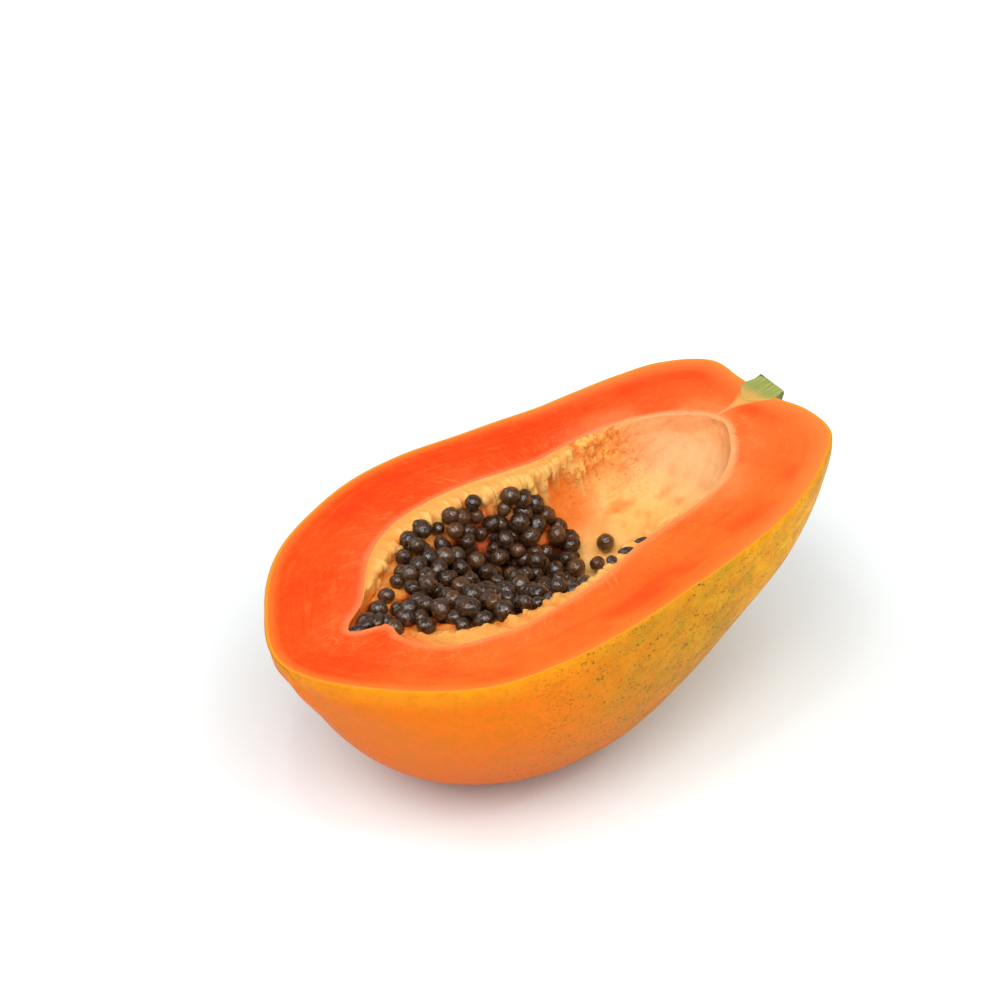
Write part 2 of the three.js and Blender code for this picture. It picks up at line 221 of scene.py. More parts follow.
def curve(points, x):
    """The value at x of a smooth curve through the points, level at both ends."""
    xs, ys = np.array(points, float).T
    slope = np.zeros(len(xs))
    slope[1:-1] = (ys[2:] - ys[:-2]) / (xs[2:] - xs[:-2])
    i = np.clip(np.searchsorted(xs, x) - 1, 0, len(xs) - 2)
    span = xs[i + 1] - xs[i]
    t = np.clip((x - xs[i]) / span, 0, 1)
    s = 1 - t
    start = ys[i] * (1 + 2 * t) * s * s + span * slope[i] * t * s * s
    return start + ys[i + 1] * (3 - 2 * t) * t * t - span * slope[i + 1] * t * t * s


def smoothstep(low, high, x):
    """0 below low, 1 above high and smooth between."""
    t = np.clip((np.asarray(x, float) - low) / (high - low), 0, 1)
    return t * t * (3 - 2 * t)


def lumps(points, size, seed=0.0):
    """Smooth noise of about that lump size, from -1 to 1, at each point."""
    offset = Vector((seed * 17.3, seed * 5.1, seed * 9.7))
    return np.array([noise.noise(Vector(p) / size + offset) for p in points])


def sum_of_lumps(points, layers):
    """Layers of smooth noise, each given by its height, the size of its lumps and a seed."""
    return sum(height * lumps(points, size, seed) for height, size, seed in layers)


def blended(near, keel, far, along, around):
    """The radius between meridians: along from the stem end, around from the near edge."""
    share = np.cos(np.radians(around)) ** 2
    edge = np.where(around < 90, curve(near, along), curve(far, along))
    return edge * share + curve(keel, along) * (1 - share)


def skin_radius(along, around):
    """The skin's distance from the fruit's middle, with its five faint lobes."""
    lobes = np.cos(np.radians(5 * (around - LOBE_RIDGE)))
    fade = np.sin(np.radians(around)) * np.sqrt(np.clip(np.sin(np.radians(along)), 0, 1))
    smooth = blended(SKIN_NEAR, SKIN_KEEL, SKIN_FAR, along, around)
    return smooth * (1 + LOBE_HEIGHT * lobes * fade)


def cavity_radius(along, around):
    """The wall's distance from the cavity's middle, drawn in under the rim where the ledge is."""
    under = np.minimum(around, 180 - around)
    smooth = blended(CAVITY_NEAR, CAVITY_KEEL, CAVITY_FAR, along, around)
    width = np.where(around < 90, curve(LEDGE_NEAR, along), curve(LEDGE_FAR, along))
    band = smoothstep(0, LEDGE_TOP, under) * (1 - smoothstep(LEDGE_TOP, LEDGE_END, under))
    return smooth - width * band


def spherical(radius, along, around, middle):
    """Points of the fruit's frame at those radii, along and around from that middle on the axis."""
    a, b = np.radians(along), np.radians(around)
    side = radius * np.sin(a)
    return np.stack([middle + radius * np.cos(a), -side * np.cos(b), -side * np.sin(b)], -1)


# The frame that the half rests in

LEAN = (
    Matrix.Rotation(-math.radians(STEM_END_RISE), 4, "Y")
    @ Matrix.Rotation(-math.radians(NEAR_SIDE_RISE), 4, "X")
)


def leaned(points):
    """Points of the fruit's frame, turned as the half lies."""
    return np.asarray(points) @ np.array(LEAN.to_3x3()).T


def find_place():
    """The move from the leaned fruit's frame to the part's, so that the half fills its solid's box."""
    along, around = np.meshgrid(np.linspace(0, 180, 181), np.linspace(0, 180, 91))
    half = leaned(spherical(skin_radius(along, around), along, around, 0).reshape(-1, 3))
    low, high = (np.array(corner) * 1000 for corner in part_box("papaya_half"))
    move = (low + high) / 2 - (half.min(0) + half.max(0)) / 2
    move[2] = high[2] - half[:, 2].max()
    return move


PLACE = find_place()


def to_part(points):
    """Points of the fruit's frame, in millimetres, in the part's frame, in metres."""
    return (leaned(points) + PLACE) / 1000


def to_fruit(point):
    """A point of the part's frame, in metres, in the fruit's frame, in millimetres."""
    return (np.array(point) * 1000 - PLACE) @ np.array(LEAN.to_3x3())


# Meshes

def make_piece(name, points, faces, materials, replaced=(), values=None, face_kinds=None):
    """A mesh in the part's frame, with its named values at each point, riding on the root body."""
    mesh = bpy.data.meshes.new(name)
    mesh.from_pydata(points.tolist(), [], faces)
    for key, value in (values or {}).items():
        mesh.attributes.new(key, "FLOAT", "POINT").data.foreach_set("value", value.astype(np.float32))
    for material in materials:
        mesh.materials.append(material)
    if face_kinds is not None:
        mesh.polygons.foreach_set("material_index", face_kinds)
    mesh.shade_smooth()
    mesh.update()
    piece = bpy.data.objects.new(name, mesh)
    bpy.context.scene.collection.objects.link(piece)
    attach(piece, "root")
    if replaced:
        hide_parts(*replaced)


def half_grid(radius, rows, middle):
    """Points and faces of the lower half of a body, one row of points for each of the rows' angles.

    The two poles are single points, and the faces look outwards."""
    steps = np.linspace(0, 180, ALONG + 1)[1:-1]
    along, around = np.meshgrid(steps, rows, indexing="ij")
    ends_along, ends_around = np.array([0.0, 180.0]), np.array([0.0, 0.0])
    along = np.concatenate([ends_along, along.ravel()])
    around = np.concatenate([ends_around, around.ravel()])
    points = spherical(radius(along, around), along, around, middle)
    width = len(rows)

    def at(i, j):
        return 0 if i == 0 else 1 if i == ALONG else 2 + (i - 1) * width + j

    faces = []
    for j in range(width - 1):
        faces.append((at(0, j), at(1, j), at(1, j + 1)))
        for i in range(1, ALONG - 1):
            faces.append((at(i, j), at(i + 1, j), at(i + 1, j + 1), at(i, j + 1)))
        faces.append((at(ALONG - 1, j), at(ALONG, j), at(ALONG - 1, j + 1)))
    loop = [at(i, 0) for i in range(ALONG + 1)]
    loop += [at(i, width - 1) for i in range(ALONG - 1, 0, -1)]
    return points, faces, np.array(loop), along, around


def distance_to_loop(points, loop):
    """The distance of each point of the cut plane to a closed line in it."""
    start, end = loop[:, :2], np.roll(loop, -1, 0)[:, :2]
    best = np.full(len(points), 1e9)
    for a, b in zip(start, end):
        d = b - a
        t = np.clip(((points[:, :2] - a) @ d) / max(d @ d, 1e-9), 0, 1)
        best = np.minimum(best, np.linalg.norm(points[:, :2] - a - t[:, None] * d, axis=1))
    return best


# Flesh and skin

def knob_relief(points, along, around):
    """How far the knobs and fingers of pulp under the rim stand out of the cavity's wall."""
    rng = np.random.default_rng(KNOB_START)
    relief = np.zeros(len(points))
    for far in (False, True):
        place = np.sort(rng.uniform(*KNOBS_ALONG, KNOBS_A_SIDE))
        top, bottom = KNOBS_UNDER
        depth = top + (bottom - top) * rng.random(KNOBS_A_SIDE) ** KNOBS_CROWDED_UP
        height = rng.uniform(*KNOB_HEIGHT, KNOBS_A_SIDE) * (1 if far else NEAR_KNOB_SHARE)
        width = rng.uniform(*KNOB_WIDTH, KNOBS_A_SIDE)
        length = rng.uniform(*KNOB_LENGTH, KNOBS_A_SIDE)
        if far:
            start, end = FINGERS_ALONG
            length *= np.where((place > start) & (place < end), FINGER_STRETCH, 1)
        around_here = 180 - depth if far else depth
        centre = spherical(cavity_radius(place, around_here), place, around_here, CAVITY_SHIFT)
        for k in range(KNOBS_A_SIDE):
            offset = points - centre[k]
            across = offset[:, 0] / width[k]
            down = np.hypot(offset[:, 1], offset[:, 2]) / length[k]
            relief = np.maximum(relief, height[k] * np.exp(-0.5 * (across ** 2 + down ** 2)))
    under = np.minimum(around, 180 - around)
    ends = smoothstep(20, 40, along) * (1 - smoothstep(160, 170, along))
    return relief * ends * smoothstep(0.5, 4, under)


def surface_normals(points, faces):
    """The direction that the surface faces at each point."""
    normals = np.zeros_like(points)
    for size in (3, 4):
        group = np.array([f for f in faces if len(f) == size])
        across = points[group[:, 2]] - points[group[:, 0]]
        other = points[group[:, 1]] - points[group[:, 0]] if size == 3 else (
            points[group[:, 3]] - points[group[:, 1]]
        )
        facing = np.cross(other, across) if size == 3 else np.cross(across, other)
        for corner in range(size):
            np.add.at(normals, group[:, corner], facing)
    return normals / np.maximum(np.linalg.norm(normals, axis=1), 1e-9)[:, None]


def outer_skin():
    """The outside, and the outline that it leaves on the cut plane."""
    rows = np.linspace(0, 180, SKIN_AROUND + 1)
    skin, faces, loop, _, around = half_grid(skin_radius, rows, 0)
    swell = sum_of_lumps(skin, SKIN_SWELL) - SKIN_INSET
    edge_fade = smoothstep(0, 12, np.minimum(around, 180 - around))
    outward = skin / np.linalg.norm(skin, axis=1)[:, None]
    skin = skin + outward * (swell * edge_fade)[:, None]
    outline = skin[loop].copy()
    outline[:, 2] = 0
    skin[loop, 2] = -EDGE_ROUND
    return skin, faces, loop, around, outline


def frayed(wall, along, under):
    """The wall with the ledge's ragged edge, pushed in and out level with the cut plane."""
    sideways = wall * np.array([1, 1, 0.15])
    fray = RAGGED * sum_of_lumps(sideways, RAGGED_LAYERS)
    fray *= smoothstep(1.2, 5, under) * (1 - smoothstep(10, 30, under))
    fray *= smoothstep(30, 60, along) * (1 - smoothstep(160, 170, along))
    inward = np.array([CAVITY_SHIFT, 0, 0]) - wall
    inward[:, 2] = 0
    inward /= np.maximum(np.linalg.norm(inward, axis=1), 1e-9)[:, None]
    return wall + inward * fray[:, None]


def cavity_wall():
    """The cavity's wall, the rim that it leaves on the cut plane, and how far its relief stands out."""
    crowd = 90 * (1 - np.cos(np.linspace(0, math.pi, CAVITY_AROUND + 1)))
    wall, faces, loop, along, around = half_grid(cavity_radius, crowd, CAVITY_SHIFT)
    under = np.minimum(around, 180 - around)
    wall = frayed(wall, along, under)
    knobs = knob_relief(wall, along, around)
    grain = sum_of_lumps(wall, WALL_GRAIN)
    ridges = sum_of_lumps(wall * np.array([0.22, 1, 1]), WALL_RIDGES)
    shelf = (1 - smoothstep(9, 16, under)) * (around < 90) * smoothstep(110, 125, along)
    grooves = sum_of_lumps(wall * np.array([1, 0.25, 0.25]), SHELF_GROOVES) * shelf
    rise = knobs * (1 - 0.6 * shelf) + (grain + ridges) * smoothstep(0, 14, under) + grooves
    rise *= smoothstep(0, 2.5, under)
    wall = wall - surface_normals(wall, faces) * rise[:, None]
    wall[:, 2] = np.minimum(wall[:, 2], -WALL_BELOW_CUT)
    rim = wall[loop].copy()
    rim[:, 2] = 0
    wall[loop, 2] = -EDGE_ROUND
    return wall, faces, loop, around, rim, rise, knobs


def cut_face(outline, rim):
    """Rings of points from the outline to the rim, faintly dipped, and their distance from both."""
    toward = outline - rim
    toward /= np.linalg.norm(toward, axis=1)[:, None]
    outer = outline - toward * EDGE_ROUND
    inner = rim + toward * EDGE_ROUND
    shares = (1 - np.cos(np.linspace(0, math.pi, CUT_STEPS))) / 2
    cut = np.concatenate([outer * (1 - s) + inner * s for s in shares])
    from_skin = distance_to_loop(cut, outline)
    from_rim = distance_to_loop(cut, rim)
    dip = CUT_DIP + sum_of_lumps(cut, CUT_UNEVEN)
    cut[:, 2] -= dip * smoothstep(0.3, 2.5, np.minimum(from_skin, from_rim))
    return cut, from_skin, from_rim


def places_along(outline):
    """How far each point of the outline is from the stem end, along the outline."""
    steps = np.linalg.norm(np.diff(outline, axis=0, append=outline[:1]), axis=1)
    place = np.concatenate([[0], np.cumsum(steps[:-1])])
    return np.minimum(place, steps.sum() - place)


def flesh_faces(skin_faces, skin_loop, wall_faces, wall_loop, cut_start, wall_start):
    """The faces of the three surfaces, joined at their edges, and the number of each face's material."""
    count = len(skin_loop)
    faces = [tuple(f) for f in skin_faces]
    kinds = [0] * len(faces)

    def ring(step, k):
        return cut_start + step * count + k % count

    for k in range(count):
        after = (k + 1) % count
        faces.append((int(skin_loop[after]), int(skin_loop[k]), ring(0, k), ring(0, after)))
        kinds.append(0)
        for s in range(CUT_STEPS - 1):
            faces.append((ring(s, after), ring(s, k), ring(s + 1, k), ring(s + 1, after)))
            kinds.append(1)
        wall_here = wall_start + int(wall_loop[k])
        wall_next = wall_start + int(wall_loop[after])
        faces.append((ring(CUT_STEPS - 1, after), ring(CUT_STEPS - 1, k), wall_here, wall_next))
        kinds.append(2)
    for f in wall_faces:
        faces.append(tuple(wall_start + v for v in reversed(f)))
        kinds.append(2)
    return faces, kinds


def make_flesh(materials):
    """The outside, the cut face and the cavity's wall in one closed surface, with a material each."""
    skin, skin_faces, skin_loop, skin_around, outline = outer_skin()
    wall, wall_faces, wall_loop, wall_around, rim, rise, knobs = cavity_wall()
    cut, from_skin, from_rim = cut_face(outline, rim)
    wall_start = len(skin) + len(cut)
    faces, kinds = flesh_faces(skin_faces, skin_loop, wall_faces, wall_loop, len(skin), wall_start)
    points = np.concatenate([skin, cut, wall])

    def all_over(on_skin, on_cut, on_wall):
        """One value for each point, where each surface has either one number or its own row of them."""
        shares = ((skin, on_skin), (cut, on_cut), (wall, on_wall))
        return np.concatenate([np.broadcast_to(value, len(part)) for part, value in shares])

    values = {
        "from_skin": all_over(0, from_skin, FAR_OFF),
        "from_rim": all_over(FAR_OFF, from_rim, 0),
        "outline_place": all_over(0, np.tile(places_along(outline), CUT_STEPS), 0),
        "relief": all_over(0, 0, rise),
        "knobs": all_over(0, 0, knobs),
        "fruit_x": points[:, 0],
        "fruit_y": points[:, 1],
        "fruit_z": points[:, 2],
        "around": all_over(skin_around, 0, wall_around),
    }
    placed = np.clip(to_part(points), np.array(cad_box[0]), np.array(cad_box[1]))
    make_piece("papaya_flesh", placed, faces, materials, ["papaya_half"], values, kinds)


# Seeds

def pile_reach(x, y):
    """How far out a place is in the pile of seeds: 0 at the cavity's middle, 1 at the pile's side."""
    along = math.degrees(math.atan2(abs(y), x - CAVITY_SHIFT))
    edge = float(curve(CAVITY_NEAR if y < 0 else CAVITY_FAR, along))
    share = float(curve(PILE_NEAR if y < 0 else PILE_FAR, along))
    return math.hypot(x - CAVITY_SHIFT, y) / (edge * share)


def bed_height(x, y):
    """The height of the lowest seeds' centres, below the cut plane."""
    out = min(1, pile_reach(x, y)) ** 2
    return -float(curve(BED_SIDE, x)) * out - float(curve(BED_MIDDLE, x)) * (1 - out) - BED_SINK


def pile_edge(y):
    """The x at which the pile ends towards the stem."""
    rate, first = PILE_WAVE_TURN
    return min(PILE_END + PILE_SLANT * y, PILE_LIMIT) + PILE_WAVE * math.sin(rate * y + first)


def wall_clearance(point):
    """How far a point in the cavity is from its wall, measured from the cavity's middle."""
    x, y, z = point
    side = math.hypot(y, z)
    along = math.degrees(math.atan2(side, x - CAVITY_SHIFT))
    around = math.degrees(math.atan2(-z, -y))
    radius = float(cavity_radius(np.array(along), np.array(around)))
    return radius - math.hypot(x - CAVITY_SHIFT, side)


def pile_of_seeds():
    """Seed centres, dropped one by one on the bed and on each other and kept if they rest low enough."""
    kept = list(EDGE_SEEDS)
    for i in range(SEED_TRIES):
        x = PILE_START + PILE_LENGTH * ((0.5 + i * TRY_STEP_X) % 1)
        y = PILE_WIDTH * ((0.5 + i * TRY_STEP_Y) % 1 - 0.5)
        if x > pile_edge(y) or pile_reach(x, y) > 1:
            continue
        bed = bed_height(x, y)
        z = bed
        placed = np.array(kept).reshape(-1, 3)
        across = (placed[:, 0] - x) ** 2 + (placed[:, 1] - y) ** 2
        close = across < SEED_SPACING ** 2
        heights = placed[close, 2]
        reaches = np.sqrt(SEED_SPACING ** 2 - across[close])
        for k in np.argsort(heights):
            if abs(z - heights[k]) < reaches[k]:
                z = heights[k] + reaches[k]
        if z - bed < PILE_LIFT and z < -SEED_WIDTH / 2:
            kept.append((x, y, z))
    rng = np.random.default_rng(PILE_START_NUMBER)
    shift = rng.uniform(-SEED_JITTER, SEED_JITTER, (len(kept), 3))
    stays = rng.random(len(kept)) > SEEDS_LEFT_OUT
    return (np.array(kept) + shift)[stays]


def pushed_off_wall(point, clearance):
    """The point, moved towards the cavity's middle until it is that far from the wall."""
    point = np.array(point, float)
    short = clearance - wall_clearance(point)
    if short > 0:
        toward = np.array([CAVITY_SHIFT, 0, 0]) - point
        point = point + toward / np.linalg.norm(toward) * short
    return point


def ball(subdivisions):
    """Points and faces of a fine round ball of radius 1."""
    made = bmesh.new()
    bmesh.ops.create_icosphere(made, subdivisions=subdivisions, radius=1)
    points = np.array([v.co[:] for v in made.verts])
    faces = [tuple(v.index for v in f.verts) for f in made.faces]
    made.free()
    return points, faces


def seed_points(sphere, centre, rng, size=(1, 1, 1)):
    """One wrinkled seed: an uneven ball, slightly drawn out, turned at random."""
    seed = rng.random() * 100
    folds = lumps(sphere * np.array([0.45, 1, 1]), SEED_FOLD_SIZE, seed)
    dents = SEED_DENT * lumps(sphere, SEED_DENT_SIZE, seed + 1)
    dents -= SEED_FOLD_DEPTH * np.exp(-((folds / SEED_FOLD_WIDTH) ** 2))
    shape = sphere * (1 + dents[:, None])
    shape[:, 0] *= 1 + SEED_TAPER * sphere[:, 0]
    scale = rng.uniform(*SEED_SCALE)
    shape = shape * np.array([SEED_LENGTH, SEED_WIDTH, SEED_WIDTH]) / 2 * scale * np.array(size)
    turn = Matrix.Rotation(rng.uniform(0, math.tau), 3, "Z")
    if size == (1, 1, 1):
        turn = turn @ Matrix.Rotation(rng.uniform(-SEED_TILT, SEED_TILT), 3, "Y")
        turn = turn @ Matrix.Rotation(rng.uniform(0, math.tau), 3, "X")
    return shape @ np.array(turn).T + centre


def make_seeds(name, centres, detail, material, replaced=(), size=(1, 1, 1), start=1):
    """Seeds joined in one piece, each with a tint of its own."""
    sphere, ball_faces = ball(detail)
    rng = np.random.default_rng(start)
    points, faces, tint = [], [], []
    for index, centre in enumerate(centres):
        base = index * len(sphere)
        points.append(seed_points(sphere, centre, rng, size))
        faces.extend(tuple(base + v for v in f) for f in ball_faces)
        tint.append(np.full(len(sphere), rng.random()))
    values = {"tint": np.concatenate(tint)}
    make_piece(
        name, to_part(np.concatenate(points)), faces, [material], replaced, values
    )


def make_bed(material):
    """The pulp between the seeds, coloured mostly dark as painted shade: an uneven sheet a little under
    them, down the cavity's wall.
    """
    xs = np.linspace(PILE_START + 2, PILE_LIMIT + 1, BED_STEPS[0])
    ys = np.linspace(-PILE_WIDTH / 2, PILE_WIDTH / 2, BED_STEPS[1])
    top = np.zeros((len(xs), len(ys), 3))
    reach = np.zeros((len(xs), len(ys)))
    for i, x in enumerate(xs):
        for j, y in enumerate(ys):
            past = max(0, x - pile_edge(y) + BED_MARGIN)
            reach[i, j] = max(pile_reach(x, y), 1 - (pile_edge(y) - x) / BED_FADE)
            z = bed_height(x, y) - BED_BELOW_SEEDS - BED_DROP * past
            top[i, j] = pushed_off_wall((x, y, z), -BED_IN_WALL)
    top[:, :, 2] += sum_of_lumps(top.reshape(-1, 3), BED_UNEVEN).reshape(reach.shape)
    low = top - np.array([0, 0, BED_THICKNESS])
    points = np.concatenate([top.reshape(-1, 3), low.reshape(-1, 3)])
    width = len(ys)
    below = len(xs) * width

    def at(i, j):
        return i * width + j

    faces = []
    for i in range(len(xs) - 1):
        for j in range(width - 1):
            quad = (at(i, j), at(i + 1, j), at(i + 1, j + 1), at(i, j + 1))
            faces.append(quad)
            faces.append(tuple(below + v for v in reversed(quad)))
    edge = [at(i, 0) for i in range(len(xs))]
    edge += [at(len(xs) - 1, j) for j in range(1, width)]
    edge += [at(i, width - 1) for i in range(len(xs) - 2, -1, -1)]
    edge += [at(0, j) for j in range(width - 2, 0, -1)]
    for k, v in enumerate(edge):
        after = edge[(k + 1) % len(edge)]
        faces.append((v, v + below, after + below, after))
    values = {"reach": np.tile(reach.ravel(), 2)}
    make_piece("seed_bed", to_part(points), faces, [material], (), values)


# Stem

def make_stem(material):
    """The split stub: a half-round, faintly ribbed body with a flat cut on top and a sawn end."""
    xs = np.linspace(STEM_PROFILE[0][0], STEM_PROFILE[-1][0], STEM_ALONG)
    radii = curve(STEM_PROFILE, xs)
    rings = []
    for x, radius in zip(xs, radii):
        turn = np.linspace(0, math.pi, STEM_AROUND)
        (broad, broad_count), (fine, fine_count) = STEM_RIBS
        ribs = 1 + broad * np.sin(turn * broad_count + 0.4 * math.sin(x))
        ribs += fine * np.sin(turn * fine_count)
        y = STEM_SIDE_SHIFT - radius * ribs * np.cos(turn)
        z = STEM_LIFT - radius * ribs * np.sin(turn)
        across = np.linspace(1, -1, STEM_CUT_STEPS + 2)[1:-1]
        cut_y = STEM_SIDE_SHIFT + radius * across * ribs[0]
        cut_z = STEM_LIFT + 0.05 * np.sin(across * 9)
        ring = np.stack([np.full(len(y), x), y, z], 1)
        lid = np.stack([np.full(STEM_CUT_STEPS, x), cut_y, cut_z], 1)
        rings.append(np.concatenate([ring, lid]))
    points = np.array(rings)
    last = points[-STEM_SLANT_ROWS:]
    slant = STEM_SLANT * (last[:, :, 1] - STEM_SIDE_SHIFT - STEM_SLANT_LEVEL)
    last[:, :, 0] += slant * np.linspace(0.1, 1, STEM_SLANT_ROWS)[:, None]
    per_ring = points.shape[1]
    flat = points.reshape(-1, 3)
    faces = []
    for i in range(STEM_ALONG - 1):
        for k in range(per_ring):
            after = (k + 1) % per_ring
            a, b = i * per_ring + k, i * per_ring + after
            faces.append((a, b, b + per_ring, a + per_ring))
    centres = []
    for i, sign in ((0, -1), (STEM_ALONG - 1, 1)):
        ring = flat[i * per_ring:(i + 1) * per_ring]
        centre = len(flat) + len(centres)
        centres.append(ring.mean(0) - np.array([STEM_END_HOLLOW * max(sign, 0), 0, 0]))
        for k in range(per_ring):
            a, b = i * per_ring + k, i * per_ring + (k + 1) % per_ring
            faces.append((centre, b, a) if sign < 0 else (centre, a, b))
    flat = np.concatenate([flat, np.array(centres)])
    across = (flat[:, 1] - STEM_SIDE_SHIFT) / STEM_HALF_WIDTH
    values = {"stem_x": flat[:, 0], "stem_depth": STEM_LIFT - flat[:, 2], "stem_across": across}
    make_piece("stem_stub", to_part(flat), faces, [material], ["stem"], values)


# Materials

def srgb(red, green, blue):
    """The surface colour that looks, under these lights, like a screen colour from 0 to 255."""
    values = np.array([red, green, blue]) / 255
    low = values / 12.92
    high = ((values + 0.055) / 1.055) ** 2.4
    return (*(np.where(values <= 0.04045, low, high) / LIGHT_LEVEL).tolist(), 1.0)


class Recipe:
    """A material's node tree, with short calls for the nodes used here."""

    def __init__(self, name):
        self.material = bpy.data.materials.new(name)
        self.material.use_nodes = True
        self.tree = self.material.node_tree
        self.shader = self.tree.nodes["Principled BSDF"]

    def feed(self, socket, value):
        if isinstance(value, bpy.types.NodeSocket):
            self.tree.links.new(value, socket)
        else:
            socket.default_value = value

    def add(self, kind, **settings):
        node = self.tree.nodes.new("ShaderNode" + kind)
        for key, value in settings.items():
            setattr(node, key, value)
        return node

    def value(self, name):
        return self.add("Attribute", attribute_name=name).outputs["Fac"]

    def place(self):
        return self.add("TexCoord").outputs["Object"]

    def math(self, operation, a, b=0.0, c=0.0):
        node = self.add("Math", operation=operation)
        for socket, value in zip(node.inputs, (a, b, c)):
            self.feed(socket, value)
        return node.outputs[0]

    def step(self, low, high, x, start=0.0, end=1.0):
        node = self.add("MapRange", interpolation_type="SMOOTHSTEP")
        for key, value in (
            ("Value", x), ("From Min", low), ("From Max", high), ("To Min", start), ("To Max", end),
        ):
            self.feed(node.inputs[key], value)
        return node.outputs[0]

    def mix(self, share, a, b):
        node = self.add("Mix", data_type="RGBA")
        self.feed(node.inputs[0], share)
        self.feed(node.inputs[6], a)
        self.feed(node.inputs[7], b)
        return node.outputs[2]

    def vector(self, x, y, z):
        node = self.add("CombineXYZ")
        for socket, value in zip(node.inputs, (x, y, z)):
            self.feed(socket, value)
        return node.outputs[0]

    def noise(self, vector, scale, detail=3.0, roughness=0.5, distortion=0.0):
        node = self.add("TexNoise")
        for key, value in (
            ("Vector", vector), ("Scale", scale), ("Detail", detail),
            ("Roughness", roughness), ("Distortion", distortion),
        ):
            self.feed(node.inputs[key], value)
        return node.outputs["Fac"]

    def cells(self, vector, scale):
        node = self.add("TexVoronoi")
        self.feed(node.inputs["Vector"], vector)
        self.feed(node.inputs["Scale"], scale)
        return node.outputs["Distance"]

    def bump(self, height, distance):
        node = self.add("Bump")
        self.feed(node.inputs["Height"], height)
        self.feed(node.inputs["Distance"], distance)
        return node.outputs[0]

    def finish(self, color, roughness, normal=None, **constants):
        self.feed(self.shader.inputs["Base Color"], color)
        self.feed(self.shader.inputs["Roughness"], roughness)
        if normal is not None:
            self.feed(self.shader.inputs["Normal"], normal)
        for key, value in constants.items():
            self.shader.inputs[key.replace("_", " ")].default_value = value
        return self.material


def skin_material():
    r = Recipe("papaya_skin")
    place = r.place()
    x, z, around = r.value("fruit_x"), r.value("fruit_z"), r.value("around")
    broad = r.noise(place, 24, 3)
    # Orange at the blossom end to yellow at the stem, redder below and paler along the cut
    x_wavy = r.math("MULTIPLY_ADD", broad, 70.0, r.math("ADD", x, -35.0))
    color = r.mix(r.step(-60, 50, x_wavy), srgb(240, 118, 10), srgb(255, 180, 4))
    low = r.math("MULTIPLY", r.step(-12, -62, z), r.step(70, -40, x, 0.15, 0.75))
    color = r.mix(low, color, srgb(232, 104, 18))
    top = r.step(-9, -1, z)
    color = r.mix(r.math("MULTIPLY", top, 0.55), color, srgb(252, 164, 10))
    # Green clouds drawn out along the fruit, and an olive haze in the middle of the side
    rows = r.vector(r.math("MULTIPLY", x, 0.02), r.math("MULTIPLY", around, 0.045), 0.0)
    cloud = r.noise(rows, 3.4, 5, 0.65)
    green = r.math("MULTIPLY", r.step(0.43, 0.6, cloud), r.step(-55, 5, x))
    fading = r.step(15, 60, x, 1.0, 0.5)
    color = r.mix(r.math("MULTIPLY", green, r.math("MULTIPLY", fading, 0.6)), color, srgb(156, 134, 16))
    olive = r.math("MULTIPLY", r.step(-50, -5, x), r.step(50, 15, x))
    olive = r.math("MULTIPLY", olive, r.step(-56, -26, z))
    color = r.mix(r.math("MULTIPLY", olive, 0.45), color, srgb(184, 140, 30))
    # Fine mottle and speckle
    mottle = r.step(0.42, 0.62, r.noise(place, 210, 5, 0.7))
    color = r.mix(r.math("MULTIPLY", mottle, 0.45), color, srgb(214, 118, 0))
    fine = r.noise(place, 1100, 4, 0.65)
    speckle = r.math("MULTIPLY", r.step(0.54, 0.66, fine), r.step(-60, 60, x, 0.15, 0.35))
    color = r.mix(speckle, color, srgb(160, 104, 28))
    # Pores and freckles, a little longer than wide, in patches
    bent = r.math("MULTIPLY_ADD", broad, 1.6, r.math("MULTIPLY", around, 0.62))
    dashes = r.vector(r.math("MULTIPLY", x, 0.4), bent, 0.0)
    pores = r.step(0.36, 0.2, r.cells(dashes, 1.3))
    where = r.step(0.47, 0.58, r.noise(rows, 7.0, 3, 0.6))
    spotted = r.math("MULTIPLY", pores, r.math("MULTIPLY", where, r.step(-75, -20, x)))
    freckles = r.math("MULTIPLY", r.step(0.4, 0.22, r.cells(dashes, 1.9)), r.step(-75, -45, x))
    freckled = r.math("MULTIPLY", freckles, r.step(0.42, 0.54, r.noise(rows, 5.0, 3, 0.6)))
    color = r.mix(r.math("MULTIPLY", freckled, r.math("MULTIPLY", fading, 0.6)), color, srgb(160, 104, 26))
    color = r.mix(r.math("MULTIPLY", spotted, r.math("MULTIPLY", fading, 0.85)), color, srgb(104, 80, 24))
    # The dark scar of the blossom
    away = r.math(
        "ADD", r.math("POWER", r.math("ADD", x, 101.0), 2.0),
        r.math("POWER", r.math("ADD", r.value("fruit_y"), 6.6), 2.0),
    )
    scar = r.step(4.5, 1.0, r.math("ADD", away, r.math("POWER", r.math("ADD", z, 1.6), 2.0)))
    color = r.mix(scar, color, srgb(58, 36, 20))
    bump = r.bump(r.math("ADD", fine, r.math("MULTIPLY", pores, -0.4)), 0.00012)
    roughness = r.step(0.2, 0.8, fine, 0.42, 0.56)
    return r.finish(color, roughness, bump, Specular_IOR_Level=0.07)


